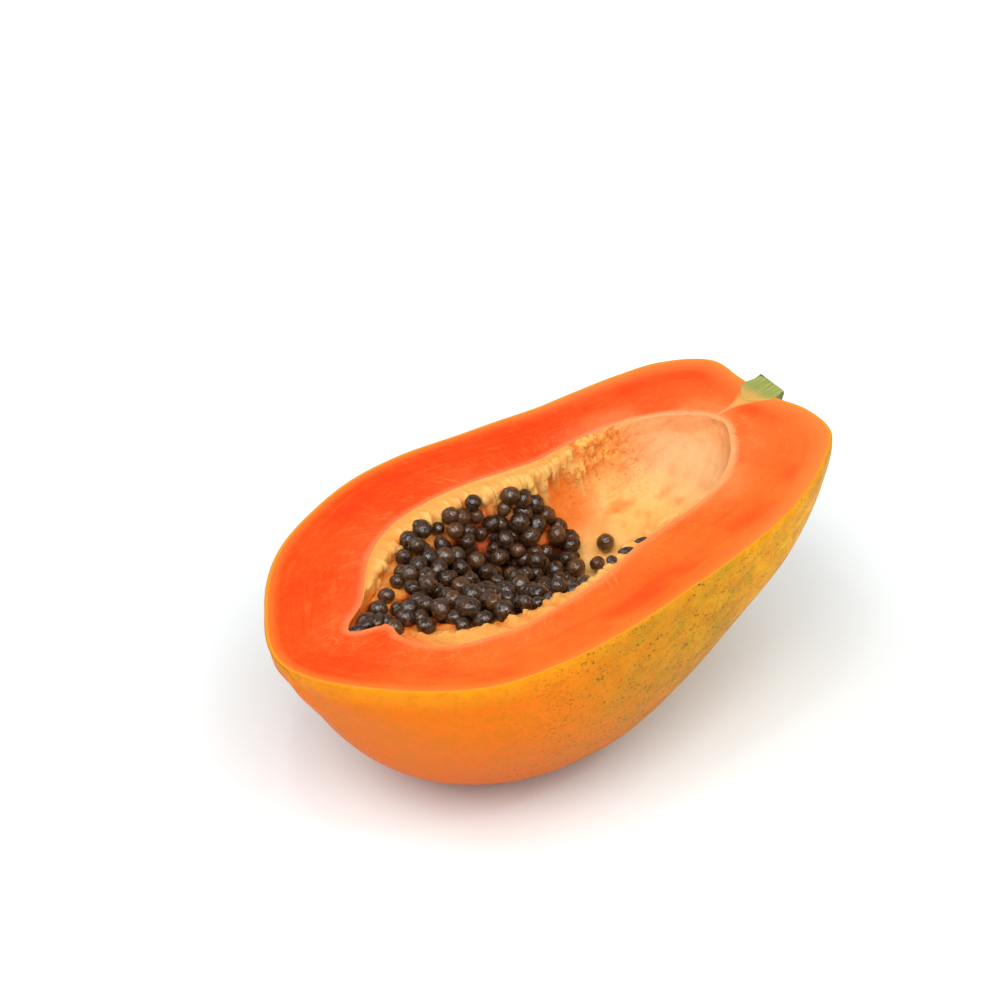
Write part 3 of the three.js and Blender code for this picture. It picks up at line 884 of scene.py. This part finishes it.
def cut_material():
    r = Recipe("papaya_cut_flesh")
    place = r.place()
    x, y = r.value("fruit_x"), r.value("fruit_y")
    from_skin, from_rim = r.value("from_skin"), r.value("from_rim")
    streaks = r.vector(
        r.math("MULTIPLY", r.value("outline_place"), 0.02), r.math("MULTIPLY", from_skin, 0.2), 0.0
    )
    fibres = r.noise(streaks, 2.4, 6, 0.62, 0.5)
    mottle = r.noise(place, 42, 4, 0.55)
    grain = r.noise(place, 330, 3, 0.6)
    # Deep orange on the far side, brighter on the near side, paler at the stem
    deep, bright, pale = srgb(250, 72, 0), srgb(254, 118, 34), srgb(254, 132, 56)
    near = r.step(26, -44, r.math("MULTIPLY_ADD", x, -0.25, y))
    color = r.mix(near, deep, bright)
    color = r.mix(r.math("MULTIPLY", r.step(0.4, 0.66, mottle), 0.45), color, srgb(254, 90, 16))
    color = r.mix(r.math("MULTIPLY", r.step(0.5, 0.74, fibres), 0.34), color, srgb(254, 120, 40))
    color = r.mix(r.math("MULTIPLY", r.step(0.5, 0.3, fibres), 0.3), color, srgb(248, 58, 0))
    color = r.mix(r.math("MULTIPLY", r.step(0.45, 0.7, grain), 0.12), color, srgb(255, 140, 60))
    color = r.mix(r.math("MULTIPLY", r.step(40, 90, x), 0.3), color, pale)
    # Redder patches half way to the cavity, and paler ones beside it
    patches = r.noise(place, 26, 3, 0.5)
    ripest = r.math("MULTIPLY", r.step(5, 9, from_skin), r.step(16, 10, from_skin))
    ripest = r.math("MULTIPLY", r.step(0.4, 0.64, patches), r.math("MULTIPLY_ADD", ripest, 0.42, 0.2))
    color = r.mix(ripest, color, srgb(250, 56, 0))
    palest = r.math("MULTIPLY", r.step(14, 4, from_rim), r.step(20, 70, x, 0.1, 0.55))
    color = r.mix(r.math("MULTIPLY", palest, r.step(0.62, 0.4, patches)), color, srgb(255, 156, 92))
    # Fine pale veins from the cavity outwards
    veins = r.noise(r.vector(
        r.math("MULTIPLY", r.value("outline_place"), 0.11), r.math("MULTIPLY", from_skin, 0.035), 3.0
    ), 2.0, 3, 0.5, 1.6)
    vein = r.math("SUBTRACT", 1.0, r.step(0.0, 0.018, r.math("ABSOLUTE", r.math("SUBTRACT", veins, 0.5))))
    color = r.mix(r.math("MULTIPLY", vein, r.step(18, 4, from_rim, 0.05, 0.4)), color, srgb(255, 160, 84))
    # The pale line along the cavity's rim
    edge = r.math("MULTIPLY_ADD", fibres, 3.0, r.math("ADD", from_rim, -1.5))
    inner = r.math("MULTIPLY", r.step(3.4, 0.6, edge), r.step(30, 70, x, 0.35, 0.95))
    color = r.mix(inner, color, srgb(255, 178, 116))
    # The wedge of the stem's root
    aside = r.math("ABSOLUTE", r.math("MULTIPLY_ADD", mottle, 2.4, r.math("ADD", y, -3.8)))
    spread = r.math("MULTIPLY_ADD", r.step(84, 99, x), 6.5, 0.9)
    wedge = r.math("MULTIPLY", r.step(1.0, 0.35, r.math("DIVIDE", aside, spread)), r.step(74, 79, x))
    wedge_color = r.mix(r.step(84, 97, x), srgb(255, 172, 100), srgb(222, 196, 96))
    color = r.mix(r.math("MULTIPLY", wedge, 0.85), color, wedge_color)
    # The paler border under the skin, and the skin's own cut edge
    outer = r.step(5.0, 1.4, r.math("MULTIPLY_ADD", fibres, 2.0, r.math("ADD", from_skin, -1.0)))
    color = r.mix(r.math("MULTIPLY", outer, 0.75), color, srgb(253, 130, 44))
    softer = r.math("MULTIPLY", r.step(9, 2, from_skin), r.step(10, 60, x))
    color = r.mix(r.math("MULTIPLY", softer, 0.35), color, srgb(254, 150, 78))
    color = r.mix(r.step(1.6, 0.7, from_skin), color, srgb(238, 158, 42))
    height = r.math("ADD", r.math("ADD", fibres, mottle), r.math("MULTIPLY", grain, 0.35))
    return r.finish(
        color, 0.45, r.bump(height, 0.0003), Specular_IOR_Level=0.14,
        Subsurface_Weight=0.2, Subsurface_Radius=(0.003, 0.0009, 0.0004), Subsurface_Scale=1.0,
    )


def pulp_material():
    r = Recipe("papaya_cavity_pulp")
    place = r.place()
    x, y, z = r.value("fruit_x"), r.value("fruit_y"), r.value("fruit_z")
    relief, knobs = r.value("relief"), r.value("knobs")
    broad = r.noise(place, 60, 4, 0.6)
    fine = r.noise(place, 420, 4, 0.6)
    color = r.mix(r.step(0.35, 0.65, broad), srgb(255, 184, 92), srgb(255, 206, 120))
    # Painted shade: deeper orange in the dips of the wall's relief
    color = r.mix(r.step(0.1, -0.6, relief), color, srgb(248, 134, 36))
    # Deeper orange on the far wall, painted shade in the gaps between knobs, and pale on the knobs' tips
    far = r.math("MULTIPLY", r.step(-22, -8, z), r.step(0, 20, y))
    color = r.mix(r.math("MULTIPLY", far, 0.65), color, srgb(250, 128, 54))
    fringe = r.math("MULTIPLY", r.step(-30, -22, z), r.step(44, 30, x))
    shaded_gaps = r.math("MULTIPLY", fringe, r.step(0.8, 0.15, knobs))
    color = r.mix(r.math("MULTIPLY", shaded_gaps, 0.9), color, srgb(254, 132, 44))
    color = r.mix(r.step(0.8, 1.7, knobs), color, srgb(255, 204, 114))
    color = r.mix(r.math("MULTIPLY", r.step(-3.2, -0.8, z), 0.6), color, srgb(255, 190, 96))
    # Pinker and paler towards the stem
    color = r.mix(r.math("MULTIPLY", r.step(46, 72, x), 0.85), color, srgb(255, 188, 132))
    # Paler still on the stem end's wall: painted light that offsets the wall's shade
    color = r.mix(r.math("MULTIPLY", r.step(60, 74, x), 0.9), color, srgb(255, 190, 128))
    # Under the pile of seeds, orange-red that darkens to brown lower down as painted shade, and at the
    # blossom end's tip
    under_pile_shaded = r.mix(r.step(-8, -14, z), srgb(232, 78, 14), srgb(100, 36, 14))
    color = r.mix(r.math("MULTIPLY", r.step(18, -6, x), r.step(-5, -11, z)), color, under_pile_shaded)
    color = r.mix(r.math("MULTIPLY", r.step(-56, -68, x), 0.85), color, srgb(246, 100, 26))
    # Just under the rim at the stem end, a more saturated orange so its shade reads warm: painted light
    end_rim_painted_light = r.math("MULTIPLY", r.step(60, 72, x), r.step(-12, -4, z))
    color = r.mix(r.math("MULTIPLY", end_rim_painted_light, 0.7), color, srgb(255, 166, 98))
    # Specks and pits on the far wall, past the pile
    region = r.math("MULTIPLY", r.step(14, 26, x), r.step(66, 52, x))
    region = r.math("MULTIPLY", r.step(2, 14, y), region)
    region = r.math("MULTIPLY", region, r.step(-24, -10, z, 0.25, 0.9))
    specks = r.math("MULTIPLY", r.step(0.52, 0.66, r.noise(place, 760, 4, 0.75)), region)
    color = r.mix(specks, color, srgb(222, 106, 34))
    pitted = r.math("MULTIPLY", r.step(60, 50, x), r.step(-15, -7, z))
    pitted = r.math("MULTIPLY", r.step(30, 38, x), pitted)
    pitted = r.math("MULTIPLY", pitted, r.step(4, 9, y))
    pits = r.noise(place, 400, 4, 0.7)
    color = r.mix(r.math("MULTIPLY", r.step(0.5, 0.6, pits), pitted), color, srgb(232, 122, 44))
    color = r.mix(r.math("MULTIPLY", r.step(0.47, 0.38, pits), pitted), color, srgb(255, 196, 88))
    bump = r.bump(r.math("ADD", fine, broad), 0.0005)
    return r.finish(
        color, r.step(0.3, 0.7, fine, 0.36, 0.52), bump, Specular_IOR_Level=0.2,
        Subsurface_Weight=0.3, Subsurface_Radius=(0.0012, 0.0011, 0.001), Subsurface_Scale=1.0,
    )


def seed_material():
    r = Recipe("papaya_seed_coat")
    place = r.place()
    tint = r.value("tint")
    marks = r.noise(place, 700, 5, 0.65)
    folds = r.math("ABSOLUTE", r.math("SUBTRACT", r.noise(place, 420, 3, 0.5, 0.8), 0.5))
    color_by_fold = r.step(0.0, 0.05, folds, 0.7, 0.0)
    color = r.mix(r.step(0.35, 0.7, marks), srgb(24, 12, 4), srgb(84, 52, 26))
    color = r.mix(r.math("MULTIPLY", r.step(0.6, 1.0, tint), 0.55), color, srgb(120, 74, 32))
    color = r.mix(color_by_fold, color, srgb(110, 72, 44))
    height = r.math("ADD", marks, r.math("MULTIPLY", folds, 3.0))
    return r.finish(
        color, r.step(0.3, 0.7, marks, 0.3, 0.5), r.bump(height, 0.0008),
        Specular_IOR_Level=0.1, Coat_Weight=1.0, Coat_Roughness=0.05, Coat_IOR=1.5,
    )


def bed_material():
    r = Recipe("papaya_seed_bed_and_shade")
    place = r.place()
    shade_mottle = r.noise(place, 260, 4, 0.6)
    patches = r.math("MULTIPLY_ADD", r.noise(place, 120, 3, 0.6), 0.7, r.value("reach"))
    # Painted shade: the pulp between the seeds is near black, turning orange only towards the pile's edge
    color = r.mix(r.step(0.45, 0.7, shade_mottle), srgb(26, 12, 6), srgb(92, 34, 12))
    color = r.mix(r.step(1.1, 1.24, patches), color, srgb(222, 84, 18))
    color = r.mix(r.step(1.2, 1.36, patches), color, srgb(250, 158, 70))
    return r.finish(color, 0.35, r.bump(shade_mottle, 0.0008), Specular_IOR_Level=0.2)


def stem_material():
    r = Recipe("papaya_stem_green")
    place = r.place()
    x, depth, across = r.value("stem_x"), r.value("stem_depth"), r.value("stem_across")
    lines = r.vector(r.math("MULTIPLY", x, 0.05), r.math("MULTIPLY", across, 4.0), depth)
    fibres = r.noise(lines, 2.2, 5, 0.6)
    cut = r.mix(r.step(0.35, 0.7, fibres), srgb(152, 160, 70), srgb(184, 186, 100))
    cut = r.mix(r.step(99, 94, x), cut, srgb(226, 176, 84))
    bark = r.mix(r.step(0.35, 0.7, fibres), srgb(92, 106, 44), srgb(136, 146, 70))
    color = r.mix(r.step(0.15, 0.7, depth), cut, bark)
    # The sawn end, darker green: painted shade
    end = r.mix(r.step(0.3, 0.7, r.noise(place, 500, 3)), srgb(84, 100, 46), srgb(124, 132, 70))
    color = r.mix(r.step(104.6, 105.0, x), color, end)
    return r.finish(color, 0.55, r.bump(fibres, 0.0003))


def floor_material():
    r = Recipe("studio_floor")
    length = r.add("VectorMath", operation="LENGTH")
    r.feed(length.inputs[0], r.place())
    # A faint glow away from the fruit keeps the floor near white there
    glow = r.step(0.1, 0.3, length.outputs["Value"], 0.0, 0.4)
    r.feed(r.shader.inputs["Emission Strength"], glow)
    return r.finish(
        (0.82, 0.87, 0.88, 1), 0.7, Specular_IOR_Level=0.1, Emission_Color=(1, 1, 1, 1),
    )


# Stage, lights and camera

def make_camera():
    azimuth, elevation = math.radians(CAMERA_AZIMUTH), math.radians(CAMERA_ELEVATION)
    back = Vector((
        math.sin(azimuth) * math.cos(elevation),
        -math.cos(azimuth) * math.cos(elevation),
        math.sin(elevation),
    ))
    data = bpy.data.cameras.new("studio_camera")
    data.lens = CAMERA_LENS_MM
    data.sensor_width = 36
    camera = bpy.data.objects.new("studio_camera", data)
    camera.location = Vector(CAMERA_TARGET) + back * CAMERA_DISTANCE
    camera.rotation_mode = "QUATERNION"
    camera.rotation_quaternion = (-back).to_track_quat("-Z", "Y")
    bpy.context.scene.collection.objects.link(camera)
    bpy.context.scene.camera = camera


def make_floor():
    size = 6
    mesh = bpy.data.meshes.new("floor")
    corners = [(-size, -size, 0), (size, -size, 0), (size, size, 0), (-size, size, 0)]
    mesh.from_pydata(corners, [], [(0, 1, 2, 3)])
    mesh.materials.append(floor_material())
    floor = bpy.data.objects.new("floor", mesh)
    bpy.context.scene.collection.objects.link(floor)


def make_light(name, azimuth, elevation, distance, size, power):
    """A square white softbox that looks at the fruit from a direction given as the camera's is."""
    a, e = math.radians(azimuth), math.radians(elevation)
    back = Vector((math.sin(a) * math.cos(e), -math.cos(a) * math.cos(e), math.sin(e)))
    data = bpy.data.lights.new(name, "AREA")
    data.shape = "SQUARE"
    data.size = size
    data.energy = power
    light = bpy.data.objects.new(name, data)
    light.location = Vector((0, 0, 0.05)) + back * distance
    light.rotation_mode = "QUATERNION"
    light.rotation_quaternion = (-back).to_track_quat("-Z", "Y")
    bpy.context.scene.collection.objects.link(light)


def make_world():
    world = bpy.data.worlds.new("studio")
    world.use_nodes = True
    background = world.node_tree.nodes["Background"]
    background.inputs["Color"].default_value = (1, 1, 1, 1)
    background.inputs["Strength"].default_value = 0.35
    bpy.context.scene.world = world


make_camera()
make_world()
make_floor()
# Each light's azimuth and elevation in degrees, distance and size in metres, and power in watts
make_light("key_light", -68, 54, 1.7, 0.9, 11)
make_light("top_light", 5, 62, 1.6, 0.9, 7)
make_light("back_light", -150, 42, 2.0, 1.2, 8)
make_light("front_light", -38, 44, 2.0, 1.2, 15)
make_light("end_fill", -98, 28, 2.0, 1.0, 4)
make_light("glint_light", -70, 74, 1.3, 0.1, 1)
make_light("second_glint", 10, 52, 1.3, 0.1, 0.8)
make_light("right_fill", 18, 24, 2.0, 1.2, 6)
bpy.context.scene.view_settings.view_transform = "Standard"

make_flesh([skin_material(), cut_material(), pulp_material()])
seed_coat = seed_material()
pile = [pushed_off_wall(point, SEED_PRESSED_IN) for point in pile_of_seeds()]
upper = [p for p in pile if p[2] - bed_height(p[0], p[1]) > FINE_SEED_HEIGHT]
lower = [p for p in pile if p[2] - bed_height(p[0], p[1]) <= FINE_SEED_HEIGHT]
make_seeds("seed_pile", upper, SEED_DETAIL, seed_coat, ["seeds"])
make_seeds("seeds_below", lower, HIDDEN_SEED_DETAIL, seed_coat, start=2)
make_bed(bed_material())
for number in (1, 2):
    low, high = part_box(f"loose_seed_{number}")
    centre = to_fruit((low + high) / 2)
    make_seeds(
        f"lone_seed_{number}", [centre], SEED_DETAIL, seed_coat, [f"loose_seed_{number}"],
        start=20 + number,
    )
make_seeds("tip_seeds", TIP_SEEDS, SEED_DETAIL, seed_coat, (), TIP_SEED_SHAPE, start=40)
for number in (1, 2, 3):
    low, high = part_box(f"rim_seed_{number}")
    centre = to_fruit((low + high) / 2)
    make_seeds(
        f"stuck_seed_{number}", [centre], SEED_DETAIL, seed_coat, [f"rim_seed_{number}"],
        STUCK_SEED_SHAPE, 30 + number,
    )
make_stem(stem_material())
